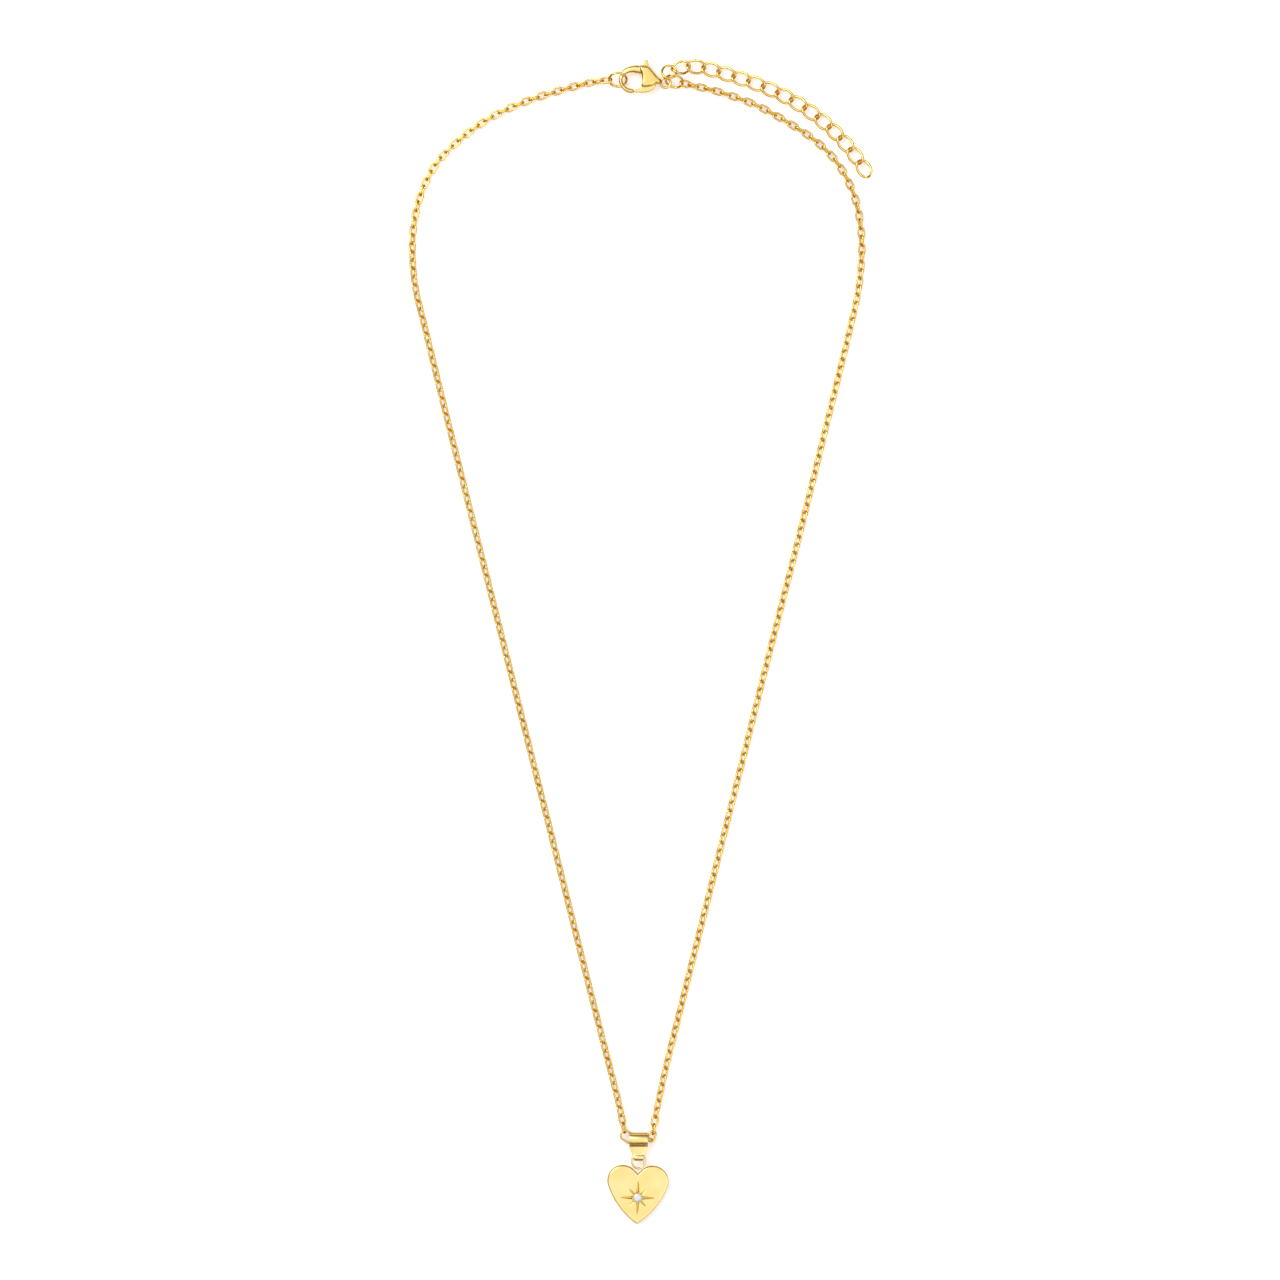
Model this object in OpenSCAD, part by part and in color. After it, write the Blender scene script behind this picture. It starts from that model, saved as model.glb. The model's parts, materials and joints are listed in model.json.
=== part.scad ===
// Pendant necklace laid out flat: a cable chain with a lobster clasp, an extension chain,
// and a heart pendant that hangs from a folded bail. Millimetres, +Z up, +Y towards the clasp.

/* [Chain] */
// Wire that the chain links are bent from
chain_wire = 0.4; // [0.36:0.01:0.42]
// Outer width of a chain link
chain_link_w = 1.64; // [1.6:0.02:1.7]
// Clear gap between two linked wires
link_gap = 0.08; // [0.05:0.01:0.09]
// Links in the whole chain, from ring to ring
chain_links = 291; // [291:2:297]
// Links in one length of chain that moves as a piece
links_per_length = 11; // [11:1:11]

/* [Extension chain] */
// Wire of the extension links
extension_wire = 0.48; // [0.44:0.01:0.5]
// Outer width of an extension link
extension_link_w = 3.3; // [3.2:0.05:3.4]
// Links in the extension chain
extension_links = 15; // [15:1:15]
// Tilt of an extension link to either side
extension_tilt = 28; // [26:1:30]
// Tilt of the first one, which hangs in a ring
first_link_tilt = 65; // [63:1:67]

/* [Rings] */
// Wire of the jump rings
ring_wire = 0.45; // [0.42:0.01:0.48]
// Radius of the two larger jump rings, to the middle of the wire
ring_r = 1.75; // [1.7:0.01:1.8]
// Radius of the extension's jump ring, to the middle of the wire
small_ring_r = 1.42; // [1.4:0.01:1.45]

/* [Clasp] */
// Thickness of the clasp's body
clasp_t = 2.2; // [2.1:0.1:2.4]
// Thickness of the clasp's hook
hook_t = 1.16; // [1.14:0.02:1.24]
// Width of the slot that the lever works in
clasp_slot = 1.1; // [1.1:0.05:1.2]
// Thickness of the lever
lever_t = 0.96; // [0.9:0.02:1]
// Radius of the lever's pin
pin_r = 0.25; // [0.22:0.01:0.27]

/* [Pendant] */
// Thickness of the heart
heart_t = 1.1; // [1:0.05:1.3]
// Height of the heart's lobe centres above its stone
lobe_y = 3.3; // [3.2:0.05:3.4]
// Radius of the heart's lobes
lobe_r = 3.1; // [3:0.05:3.2]
// Diameter of the stone
stone_d = 1.75; // [1.6:0.05:1.8]
// Outer radius of the bail's roll
bail_r = 1.35; // [1.3:0.01:1.4]
// Thickness of the bail's strip
bail_t = 0.36; // [0.32:0.01:0.38]

/* [Hidden] */
$fn = 48;
lengths_per_side = 13;
running_gap = 0.04;
gold = [0.93, 0.78, 0.38];

// Middle of each ring, and how far it leans
end_ring_at = [-4.43, 111.96, 1.31];
end_ring_lean = 43;
clasp_ring_at = [6.852, 111.636, 1.805];
clasp_ring_heading = -13.6;
clasp_ring_lean = 50.8;
extension_ring_at = [5.81, 113.429, 2.304];
extension_ring_heading = -11.1;
extension_ring_dip = 23.7;

// The clasp is drawn about its lever's pin
clasp_at = [2.2, 112.7, 1.3];
loop_wire = 0.5;
loop_r = 1.0;
loop_at = [2.9, -1.35];

// The bail hangs on the chain, and the heart's ring hangs in the bail
bail_w = 3.72;
bail_foot_w = 1.68;
bail_at = [-0.28, -99.8, bail_r];
heart_ring_wire = 0.4;
heart_ring_r = 1.22;
heart_ring_corner = 0.24;
heart_ring_leg = 0.75;
bail_foot_r = heart_ring_wire / 2 + 0.1 + bail_t;
bail_foot_at = [-0.28, -103.4, 1.4];

// The heart leans back from its ring, and is turned a little
heart_pitch = 3.5;
heart_roll = 3;
heart_turn = -1.5;
stone_below_ring = 8.03;

// Route of the chain's axis from the end ring to the middle of the bail
left_route = [
    [-5.915, 111.97, 1.31], [-10, 111.4, 0.9], [-15.5, 110, 0.84], [-23, 107.6, 0.84],
    [-30, 104.4, 0.84], [-36, 100.1, 0.82], [-41, 94.9, 0.78], [-44.2, 88, 0.7],
    [-45.5, 80, 0.66], [-45, 71, 0.66], [-42.9, 62, 0.66], [-39, 46, 0.66],
    [-33, 22, 0.66], [-27, -2, 0.66], [-21, -26, 0.66], [-15, -50, 0.66],
    [-10, -70, 0.66], [-6.3, -84.5, 0.77], [-4.4, -92, 0.98], [-3.55, -96, 1.18],
    [-2.98, -98.8, 1.33], [-2.82, -99.62, 1.35], [-2.7, -99.8, 1.35], [-1.1, -99.8, 1.35]
];

// Route from the middle of the bail to the clasp's ring
right_route = [
    [-1.1, -99.8, 1.35], [2.18, -99.8, 1.35], [2.27, -99.7, 1.35], [2.6, -98.6, 1.33],
    [2.95, -96, 1.18], [3.75, -92, 0.98], [5.4, -84.5, 0.77], [9, -70, 0.66],
    [14, -50, 0.66], [20, -26, 0.66], [26, -2, 0.66], [32.1, 22, 0.66],
    [38, 46, 0.66], [41.9, 62, 0.66], [43.8, 71, 0.66], [44.3, 79.5, 0.66],
    [43.2, 87.6, 0.7], [40.1, 94.4, 0.78], [35.8, 99.2, 0.82], [30, 103.2, 0.84],
    [23, 107, 0.84], [16, 109.5, 0.9], [11.8, 110.5, 1.15], [8.295, 111.285, 1.805]
];

// Route of the extension chain's axis, from its ring to its free end
extension_route = [
    [6.612, 114.042, 1.674], [9.65, 114.65, 1.42], [12.6, 114.45, 1.02], [17, 113.2, 0.95],
    [23, 111.3, 0.95], [28.8, 108.8, 0.95], [34.2, 105.5, 0.95], [38.9, 101.6, 0.95],
    [42.9, 97, 0.95], [45.6, 92.9, 0.95]
];

// A smooth curve through a list of points
function blend(a, b, c, d, u) = 0.5 * (2 * b + (c - a) * u + (2 * a - 5 * b + 4 * c - d) * u ^ 2
    + (3 * b - a - 3 * c + d) * u ^ 3);
function smooth(p, steps) = let (last = len(p) - 1) [
    for (i = [0 : last - 1], k = [0 : steps - 1])
        blend(p[max(i - 1, 0)], p[i], p[i + 1], p[min(i + 2, last)], k / steps),
    p[last]
];

// Points spaced evenly along a curve, one at each joint between links
function running(p) = [for (s = 0, i = 0; i < len(p); s = s + norm(p[min(i + 1, len(p) - 1)] - p[i]),
    i = i + 1) s];
function spaced(p, count) = let (s = running(p), last = len(p) - 1) [
    for (k = [0 : count]) let (at = s[last] * k / count)
        [for (axis = [0 : 2]) lookup(at, [for (i = [0 : last]) [s[i], p[i][axis]]])]
];

links_to_bail = (chain_links + 1) / 2;
to_bail = spaced(smooth(left_route, 8), links_to_bail);
from_bail = spaced(smooth(right_route, 8), chain_links - links_to_bail);
chain_joints = concat(to_bail, [for (i = [1 : len(from_bail) - 1]) from_bail[i]]);
extension_joints = spaced(smooth(extension_route, 8), extension_links);
chain_pitch = norm(chain_joints[40] - chain_joints[39]);
extension_pitch = norm(extension_joints[8] - extension_joints[7]);
chain_link_l = chain_pitch + link_gap + 2 * chain_wire;
extension_link_l = extension_pitch + link_gap + 2 * extension_wire;

// The length of chain in the bail is what the two sides leave
middle_links = chain_links - 2 * lengths_per_side * links_per_length;
left_start = lengths_per_side * links_per_length;
right_start = left_start + middle_links;

// Roll of the chain about its own axis: it lies on two wires, but is level near the rings and the bail
function chain_roll(k) = lookup(k, [[0, 28], [6, 8], [24, 8], [38, 45], [141, 45], [145, 2], [148, 2],
    [152, 45], [252, 45], [266, 10], [284, 10], [290, 20]]) + 90 * (k % 2);

function two(i) = str(i < 10 ? "0" : "", i);
sides = [1 : lengths_per_side];
tails = [1 : extension_links];

// Points round an ellipse between two angles
function arc(cx, cy, rx, ry, from, to, n) = [
    for (i = [0 : n]) let (a = from + (to - from) * i / n) [cx + rx * cos(a), cy + ry * sin(a)]
];

// Half of a round ring, on the +X side
module half_ring(r, wire_r) {
    rotate([0, 0, -90])
        rotate_extrude(angle = 180)
            translate([r, 0])
                circle(r = wire_r);
}

// A closed oval link along X, lying in the XY plane
module oval_link(length, width, wire) {
    bend_r = (width - wire) / 2;
    side = (length - width) / 2;
    for (end = [0, 180])
        rotate([0, 0, end])
            translate([side, 0, 0])
                half_ring(bend_r, wire / 2);
    for (y = [-bend_r, bend_r])
        translate([-side, y, 0])
            rotate([0, 90, 0])
                cylinder(r = wire / 2, h = 2 * side);
}

// Turns a link's own X axis along the line between two joints
module between(a, b, roll) {
    d = b - a;
    translate((a + b) / 2)
        rotate([0, -atan2(d.z, norm([d.x, d.y])), atan2(d.y, d.x)])
            rotate([roll, 0, 0])
                children();
}

module chain_length(first, count) {
    color(gold)
        for (k = [first : first + count - 1])
            between(chain_joints[k], chain_joints[k + 1], chain_roll(k))
                oval_link(chain_link_l, chain_link_w, chain_wire);
}

module chain_middle() {
    chain_length(left_start, middle_links);
}

// Length 1 is next to the bail on either side
module chain_left(i) {
    chain_length(left_start - i * links_per_length, links_per_length);
}

module chain_right(i) {
    chain_length(right_start + (i - 1) * links_per_length, links_per_length);
}

module jump_ring(r) {
    color(gold)
        rotate_extrude()
            translate([r, 0])
                circle(r = ring_wire / 2);
}

module end_ring() {
    translate(end_ring_at)
        rotate([end_ring_lean, 0, 0])
            jump_ring(ring_r);
}

module clasp_ring() {
    translate(clasp_ring_at)
        rotate([0, 0, clasp_ring_heading])
            rotate([clasp_ring_lean, 0, 0])
                jump_ring(ring_r);
}

module extension_ring() {
    translate(extension_ring_at)
        rotate([-extension_ring_dip, 0, extension_ring_heading])
            jump_ring(small_ring_r);
}

module extension_link(i) {
    color(gold)
        between(extension_joints[i - 1], extension_joints[i],
                i == 1 ? -first_link_tilt : i % 2 == 0 ? extension_tilt : -extension_tilt)
            oval_link(extension_link_l, extension_link_w, extension_wire);
}

// Gate and hook meet on a circle about the pin, so the gate swings past the hook's tip
gate_r = 4.5;
opening = [-3.7, -0.9];
opening_rx = 2;
opening_ry = 1.6;

module hook() {
    linear_extrude(hook_t, center = true)
        difference() {
            polygon(arc(opening.x, -0.72, 2.74, 2.86, 0, 360, 60));
            translate([-2.3, -4])
                square([2, 6.1]);
            intersection() {
                circle(r = gate_r + 0.06);
                translate([-4.6, -4])
                    square([4.6, 2.6]);
            }
        }
}

// The body is a drop shape with crowned cheeks, open along its lower edge for the lever
module cheeks() {
    intersection() {
        linear_extrude(clasp_t, center = true)
            polygon(smooth([[-2.9, 2.0], [-1.7, 2.14], [-0.5, 1.95], [0.4, 1.1], [1.1, 0.1], [1.9, -0.75],
                [2.05, -1.3], [1.6, -1.62], [0.6, -1.75], [-0.6, -2.1], [-1.9, -2.25], [-2.4, -1.6],
                [-2.6, 0], [-2.9, 1.1], [-2.9, 2.0]], 4));
        translate([-6, -0.1, -1.4])
            rotate([0, 90, 0])
                cylinder(r = 3.2, h = 12);
        translate([-6, -0.1, 1.4])
            rotate([0, 90, 0])
                cylinder(r = 3.2, h = 12);
    }
}

module clasp_body() {
    color(gold)
        translate(clasp_at) {
            difference() {
                union() {
                    hook();
                    cheeks();
                }
                linear_extrude(4, center = true)
                    polygon(arc(opening.x, opening.y, opening_rx, opening_ry, 0, 360, 48));
                translate([-1.74, -3, -clasp_slot / 2])
                    cube([2.8, 6, clasp_slot]);
                translate([-3, -3, -clasp_slot / 2])
                    cube([2, 2.6, clasp_slot]);
                cylinder(r = pin_r, h = 4, center = true);
            }
            translate([loop_at.x, loop_at.y, 0])
                rotate_extrude()
                    translate([loop_r, 0])
                        circle(r = loop_wire / 2);
        }
}

module clasp_lever() {
    color(gold)
        translate(clasp_at)
            difference() {
                intersection() {
                    linear_extrude(lever_t, center = true)
                        polygon([[-1.58, 3.36], [-0.56, 3.36], [-0.56, 1.2], [0.5, 0.6], [0.75, 0],
                            [0.6, -0.9], [1, -1.6], [0.7, -2.45], [-0.1, -3.05], [-1.1, -3.3],
                            [-2.6, -3.36], [-4.2, -3.3], [-4.2, -2.5], [-2.9, -2.45], [-2.1, -2.05],
                            [-1.5, -1.3], [-1.3, -0.4], [-1.3, 0.6], [-1.58, 1.6]]);
                    union() {
                        cylinder(r = gate_r, h = 4, center = true);
                        translate([-2, 0, -2])
                            cube([3, 4, 4]);
                    }
                }
                cylinder(r = pin_r + running_gap, h = 4, center = true);
                translate([0, 0, 0.1])
                    cylinder(r = 0.62, h = 2);
            }
}

module clasp_pin() {
    color(gold)
        translate(clasp_at)
            cylinder(r = pin_r, h = 2 * 1.05, center = true);
}

// Wire that follows a path which never runs along Z
module wire_path(p, r) {
    last = len(p) - 1;
    ring = 8;
    along = [for (i = [0 : last]) let (d = p[min(i + 1, last)] - p[max(i - 1, 0)]) d / norm(d)];
    points = [
        for (i = [0 : last], j = [0 : ring - 1])
            let (side = cross(along[i], [0, 0, 1]), x = side / norm(side), y = cross(x, along[i]))
                p[i] + r * (cos(j * 360 / ring) * x + sin(j * 360 / ring) * y)
    ];
    walls = [
        for (i = [0 : last - 1], j = [0 : ring - 1]) let (a = i * ring + j, b = i * ring + (j + 1) % ring)
            [a, b, b + ring, a + ring]
    ];
    first_cap = [for (j = [ring - 1 : -1 : 0]) j];
    last_cap = [for (j = [0 : ring - 1]) last * ring + j];
    polyhedron(points, concat(walls, [first_cap, last_cap]));
}

// Two turns of wire about the pin, with one leg on the lever and one towards the tail
spring_wire = 0.12;
spring_turns = 2;
module clasp_spring() {
    coil = [
        for (i = [0 : 48]) let (a = -150 + i * spring_turns * 360 / 48)
            [0.43 * cos(a), 0.43 * sin(a), 0.17 + i * 0.3 / 48]
    ];
    color("silver")
        translate(clasp_at)
            wire_path(concat(coil, [[-0.2, -0.56, 0.48], [0.98, -0.52, 0.48]]), spring_wire / 2);
}

// Side view of the bail: a roll round the chain, a flat tongue, and a small roll round the heart's ring
module bail() {
    foot = bail_foot_at - bail_at;
    tongue_l = norm(foot);
    color(gold)
        translate(bail_at)
            intersection() {
                difference() {
                    rotate([0, 90, 0])
                        union() {
                            cylinder(r = bail_r, h = bail_w, center = true);
                            translate([-foot.z, foot.y, 0])
                                cylinder(r = bail_foot_r, h = bail_w, center = true);
                            rotate([0, 0, atan2(foot.y, -foot.z)])
                                translate([tongue_l / 2, 0, 0])
                                    cube([tongue_l, 2 * bail_t + 0.1, bail_w], center = true);
                        }
                    rotate([0, 90, 0])
                        cylinder(r = bail_r - bail_t, h = 2 * bail_w, center = true);
                    translate([0, foot.y, foot.z])
                        rotate([0, 90, 0])
                            cylinder(r = bail_foot_r - bail_t, h = 2 * bail_w, center = true);
                }
                linear_extrude(10, center = true)
                    polygon([[-bail_w / 2, bail_r], [bail_w / 2, bail_r], [bail_w / 2, -bail_r],
                        [bail_foot_w / 2, foot.y - bail_foot_r - 0.1],
                        [-bail_foot_w / 2, foot.y - bail_foot_r - 0.1], [-bail_w / 2, -bail_r]]);
            }
}

// The heart, its ring and its stone share this place: the origin is the middle of the ring's top bar
module on_heart() {
    translate(bail_foot_at)
        rotate([heart_pitch, heart_roll, heart_turn])
            children();
}

module heart_ring() {
    bar = heart_ring_r - heart_ring_corner;
    color(gold)
        on_heart() {
            translate([-bar, 0, 0])
                rotate([0, 90, 0])
                    cylinder(r = heart_ring_wire / 2, h = 2 * bar);
            for (side = [0, 1])
                mirror([side, 0, 0]) {
                    translate([bar, -heart_ring_corner, 0])
                        rotate_extrude(angle = 90)
                            translate([heart_ring_corner, 0])
                                circle(r = heart_ring_wire / 2);
                    translate([heart_ring_r, -heart_ring_corner, 0])
                        rotate([90, 0, 0])
                            cylinder(r = heart_ring_wire / 2, h = heart_ring_leg);
                }
            translate([0, -heart_ring_corner - heart_ring_leg, 0])
                rotate([0, 0, -90])
                    half_ring(heart_ring_r, heart_ring_wire / 2);
        }
}

// Right half of the outline, from the cleft to the tip: a lobe, then a long arc that leaves it smoothly
lobe_x = 3;
flank_r = 15.5;
flank_from = -20;
flank_c = [lobe_x + (lobe_r - flank_r) * cos(flank_from), lobe_y + (lobe_r - flank_r) * sin(flank_from)];
flank_to = -acos(-flank_c.x / flank_r);
half_heart = concat(
    [[0, lobe_y + sqrt(2) * lobe_r - lobe_x]],
    arc(lobe_x, lobe_y, lobe_r, lobe_r, 135, flank_from, 20),
    [for (i = [1 : 14]) let (a = flank_from + (flank_to - flank_from) * i / 14)
        flank_c + flank_r * [cos(a), sin(a)]]
);

module heart_outline() {
    polygon(concat(half_heart, [for (i = [len(half_heart) - 2 : -1 : 1])
        [-half_heart[i].x, half_heart[i].y]]));
}

// Engraved eight-point star: four long rays and four short ones
long_ray = 3.4;
short_ray = 2.4;
ray_depth = 0.2;
seat_r = stone_d / 2 + 0.01;
seat_depth = 0.75;

// Each ray has straight sides that taper to a narrow tip
module star() {
    for (i = [0 : 7])
        rotate([0, 0, 45 * i])
            polygon([[0.5, -0.38], [i % 2 == 0 ? long_ray : short_ray, -0.1],
                [i % 2 == 0 ? long_ray : short_ray, 0.1], [0.5, 0.38]]);
}

module heart_plate() {
    color(gold)
        on_heart()
            translate([0, -stone_below_ring, 0])
                difference() {
                    translate([0, 0, -heart_t / 2])
                        linear_extrude(heart_t)
                            heart_outline();
                    translate([0, 0, heart_t / 2 - ray_depth])
                        linear_extrude(1)
                            difference() {
                                star();
                                circle(r = seat_r + 0.2);
                            }
                    translate([0, 0, heart_t / 2 - seat_depth])
                        cylinder(r = seat_r, h = 2);
                }
}

module stone() {
    color("white")
        on_heart()
            translate([0, -stone_below_ring, heart_t / 2 - seat_depth]) {
                cylinder(r1 = 0.12, r2 = stone_d / 2, h = 0.66);
                translate([0, 0, 0.66])
                    cylinder(r = stone_d / 2, h = 0.06);
                translate([0, 0, 0.72])
                    cylinder(r1 = stone_d / 2, r2 = 0.56 * stone_d / 2, h = 0.26);
            }
}

chain_middle();
for (i = sides) chain_left(i);
for (i = sides) chain_right(i);
end_ring();
clasp_ring();
clasp_body();
clasp_lever();
clasp_pin();
clasp_spring();
extension_ring();
for (i = tails) extension_link(i);
bail();
heart_ring();
heart_plate();
stone();
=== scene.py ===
"""Pendant necklace laid flat: gold cable chain, lobster clasp, extension chain and a heart pendant."""
import json
import math

import bmesh
import bpy
import numpy as np
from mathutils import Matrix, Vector


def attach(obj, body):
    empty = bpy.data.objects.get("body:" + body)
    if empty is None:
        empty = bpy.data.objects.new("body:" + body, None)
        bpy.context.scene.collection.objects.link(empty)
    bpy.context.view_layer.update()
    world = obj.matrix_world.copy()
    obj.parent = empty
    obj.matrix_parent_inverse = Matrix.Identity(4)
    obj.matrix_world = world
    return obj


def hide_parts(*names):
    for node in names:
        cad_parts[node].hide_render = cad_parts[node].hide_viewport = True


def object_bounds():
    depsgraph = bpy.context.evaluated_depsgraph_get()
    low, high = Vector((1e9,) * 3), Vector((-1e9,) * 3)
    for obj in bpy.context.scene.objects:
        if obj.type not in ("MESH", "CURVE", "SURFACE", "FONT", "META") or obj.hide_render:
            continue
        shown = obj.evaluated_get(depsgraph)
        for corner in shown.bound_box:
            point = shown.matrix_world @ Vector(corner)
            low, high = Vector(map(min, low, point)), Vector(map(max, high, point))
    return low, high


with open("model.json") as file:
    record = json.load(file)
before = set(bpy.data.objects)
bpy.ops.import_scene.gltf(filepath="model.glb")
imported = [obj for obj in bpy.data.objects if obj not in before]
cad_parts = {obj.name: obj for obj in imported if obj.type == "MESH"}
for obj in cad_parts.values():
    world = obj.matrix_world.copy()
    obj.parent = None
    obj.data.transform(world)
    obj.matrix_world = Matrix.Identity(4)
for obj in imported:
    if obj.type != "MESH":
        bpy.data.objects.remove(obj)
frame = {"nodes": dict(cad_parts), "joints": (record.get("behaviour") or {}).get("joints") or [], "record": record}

cad_box = [list(corner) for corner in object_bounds()]
MM = 0.001
scene = bpy.context.scene
nodes = frame["nodes"]
joints = {j["name"]: j for j in frame["joints"]}
body_of = {n: b for b, members in frame["record"]["behaviour"]["bodies"].items() for n in members}


# ---------------------------------------------------------------- camera, floor and light
PICTURE_WIDTH = 256 * MM
CAMERA_HEIGHT = 1.5
SENSOR = 36

camera = bpy.data.objects.new("camera", bpy.data.cameras.new("camera"))
scene.collection.objects.link(camera)
camera.location = (0, 0, CAMERA_HEIGHT)
camera.data.sensor_width = SENSOR
camera.data.lens = SENSOR * CAMERA_HEIGHT / PICTURE_WIDTH
camera.data.clip_start = 0.01
camera.data.clip_end = 20
scene.camera = camera
scene.view_settings.view_transform = "Standard"


def nodes_of(name):
    """A new material, as (material, node tree, its main shader)."""
    material = bpy.data.materials.new(name)
    material.use_nodes = True
    tree = material.node_tree
    return material, tree, tree.nodes["Principled BSDF"]


def add(tree, kind, **sockets):
    """A node of that kind, with its sockets set or linked."""
    node = tree.nodes.new(kind)
    for key, value in sockets.items():
        target = node.inputs[key.replace("_", " ")]
        if isinstance(value, bpy.types.NodeSocket):
            tree.links.new(value, target)
        else:
            target.default_value = value
    return node


def noise(tree, scale, detail=4.0, stretch=(1, 1, 1)):
    """Noise in the object's own space, with its scale per metre."""
    place = add(tree, "ShaderNodeTexCoord").outputs["Object"]
    mapped = add(tree, "ShaderNodeMapping", Vector=place, Scale=stretch).outputs["Vector"]
    return add(tree, "ShaderNodeTexNoise", Vector=mapped, Scale=scale, Detail=detail).outputs["Fac"]


def ramp(tree, fac, stops):
    """A colour ramp with (position, colour) stops."""
    node = add(tree, "ShaderNodeValToRGB", Fac=fac)
    elements = node.color_ramp.elements
    for i, (position, colour) in enumerate(stops):
        element = elements[i] if i < 2 else elements.new(position)
        element.position = position
        element.color = (*colour, 1)
    return node.outputs["Color"]


def spread(tree, fac, low, high):
    """A 0 to 1 value brought into a range."""
    return add(tree, "ShaderNodeMapRange", Value=fac, To_Min=low, To_Max=high).outputs["Result"]


# Painted shade: factor on the plating's colour where a surface stands steeply, darkening the flanks as dark
# reflections would
PAINTED_FLANK_SHADE = (0.62, 0.36, 0.02)
PAINTED_SHADE_FULL = 0.42
PAINTED_SHADE_NONE = 0.74
EDGE_TINT = (0.5, 0.3, 0.02, 1)


def gold_material(name, dark, light, rough, bump, grain=(1, 1, 1), grain_scale=9000):
    """Polished plating with painted shade, redder and darker on the flanks, with a slow drift of tone, hairline
    marks and uneven gloss.
    """
    material, tree, shader = nodes_of(name)
    drift = noise(tree, 260, 3)
    marks = noise(tree, grain_scale, 5, grain)
    face = ramp(tree, drift, [(0.35, dark), (0.68, light)])
    normal = add(tree, "ShaderNodeTexCoord").outputs["Normal"]
    level = add(tree, "ShaderNodeMath", Value=add(tree, "ShaderNodeSeparateXYZ", Vector=normal).outputs["Z"])
    level.operation = "ABSOLUTE"
    # Painted shade: the base colour is multiplied towards a dark reddish tone where the surface normal stands
    # steeply
    painted_flank_shade = ramp(tree, level.outputs[0], [(PAINTED_SHADE_FULL, PAINTED_FLANK_SHADE), (PAINTED_SHADE_NONE, (1, 1, 1))])
    tone = tree.nodes.new("ShaderNodeMix")
    tone.data_type = "RGBA"
    tone.blend_type = "MULTIPLY"
    tone.inputs[0].default_value = 1
    tree.links.new(face, tone.inputs[6])
    tree.links.new(painted_flank_shade, tone.inputs[7])
    tree.links.new(tone.outputs[2], shader.inputs["Base Color"])
    tree.links.new(spread(tree, marks, rough[0], rough[1]), shader.inputs["Roughness"])
    shader.inputs["Metallic"].default_value = 1.0
    shader.inputs["Specular Tint"].default_value = EDGE_TINT
    relief = add(tree, "ShaderNodeBump", Height=marks, Strength=bump, Distance=0.00002)
    tree.links.new(relief.outputs["Normal"], shader.inputs["Normal"])
    return material


CHAIN_GOLD = gold_material("chain_gold", (0.98, 0.66, 0.12), (1.0, 0.8, 0.24), (0.12, 0.26), 0.25)
EXTENSION_GOLD = gold_material("extension_gold", (0.98, 0.67, 0.13), (1.0, 0.8, 0.24), (0.12, 0.24), 0.25)
RING_GOLD = gold_material("ring_gold", (0.98, 0.67, 0.13), (1.0, 0.8, 0.24), (0.1, 0.22), 0.25)
CLASP_GOLD = gold_material("clasp_gold", (0.95, 0.7, 0.22), (1.0, 0.82, 0.34), (0.2, 0.34), 0.35)
BAIL_GOLD = gold_material("bail_gold", (0.95, 0.72, 0.26), (1.0, 0.86, 0.42), (0.2, 0.36), 0.6,
                          (0.06, 1, 1), 14000)
PENDANT_GOLD = gold_material("pendant_gold", (0.97, 0.76, 0.3), (1.0, 0.84, 0.4), (0.2, 0.32), 0.2)


def steel_material():
    material, tree, shader = nodes_of("spring_steel")
    drawn = noise(tree, 7000, 4, (1, 1, 0.2))
    tree.links.new(ramp(tree, drawn, [(0.3, (0.42, 0.42, 0.41)), (0.7, (0.66, 0.66, 0.64))]),
                   shader.inputs["Base Color"])
    tree.links.new(spread(tree, drawn, 0.22, 0.42), shader.inputs["Roughness"])
    shader.inputs["Metallic"].default_value = 1.0
    return material


def stone_material():
    """Clear cut stone with painted brightness: a nearly white base colour stands in for the light it reflects and
    passes.
    """
    material, tree, shader = nodes_of("stone")
    cloud = noise(tree, 1500, 3)
    # Painted brightness: the near-white base colour stands in for the stone's reflected and transmitted light
    tree.links.new(ramp(tree, cloud, [(0.3, (0.9, 0.92, 0.95)), (0.7, (1.0, 1.0, 1.0))]),
                   shader.inputs["Base Color"])
    tree.links.new(spread(tree, cloud, 0.02, 0.06), shader.inputs["Roughness"])
    shader.inputs["IOR"].default_value = 1.9
    shader.inputs["Transmission Weight"].default_value = 0.1
    return material


STEEL = steel_material()
STONE = stone_material()


def floor_material():
    """White sheet on a light table, which glows enough to lift the shadows."""
    material, tree, shader = nodes_of("paper")
    fibre = noise(tree, 900, 4)
    tree.links.new(ramp(tree, fibre, [(0.3, (0.93, 0.93, 0.93)), (0.7, (0.95, 0.95, 0.95))]),
                   shader.inputs["Base Color"])
    shader.inputs["Roughness"].default_value = 0.9
    shader.inputs["Specular IOR Level"].default_value = 0.1
    shader.inputs["Emission Color"].default_value = (1, 1, 1, 1)
    shader.inputs["Emission Strength"].default_value = 0.3
    return material


def make_floor():
    half = 3
    mesh = bpy.data.meshes.new("floor")
    z = cad_box[0][2]
    corners = [(-half, -half, z), (half, -half, z), (half, half, z), (-half, half, z)]
    mesh.from_pydata(corners, [], [(0, 1, 2, 3)])
    mesh.materials.append(floor_material())
    floor = bpy.data.objects.new("floor", mesh)
    scene.collection.objects.link(floor)


def softbox(name, place, size, power, colour=(1, 1, 1)):
    """A square area light aimed at the middle of the necklace."""
    data = bpy.data.lights.new(name, "AREA")
    data.shape = "SQUARE"
    data.size = size
    data.energy = power
    data.color = colour
    light = bpy.data.objects.new(name, data)
    scene.collection.objects.link(light)
    light.location = place
    light.rotation_euler = (-Vector(place)).to_track_quat("-Z", "Y").to_euler()


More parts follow.
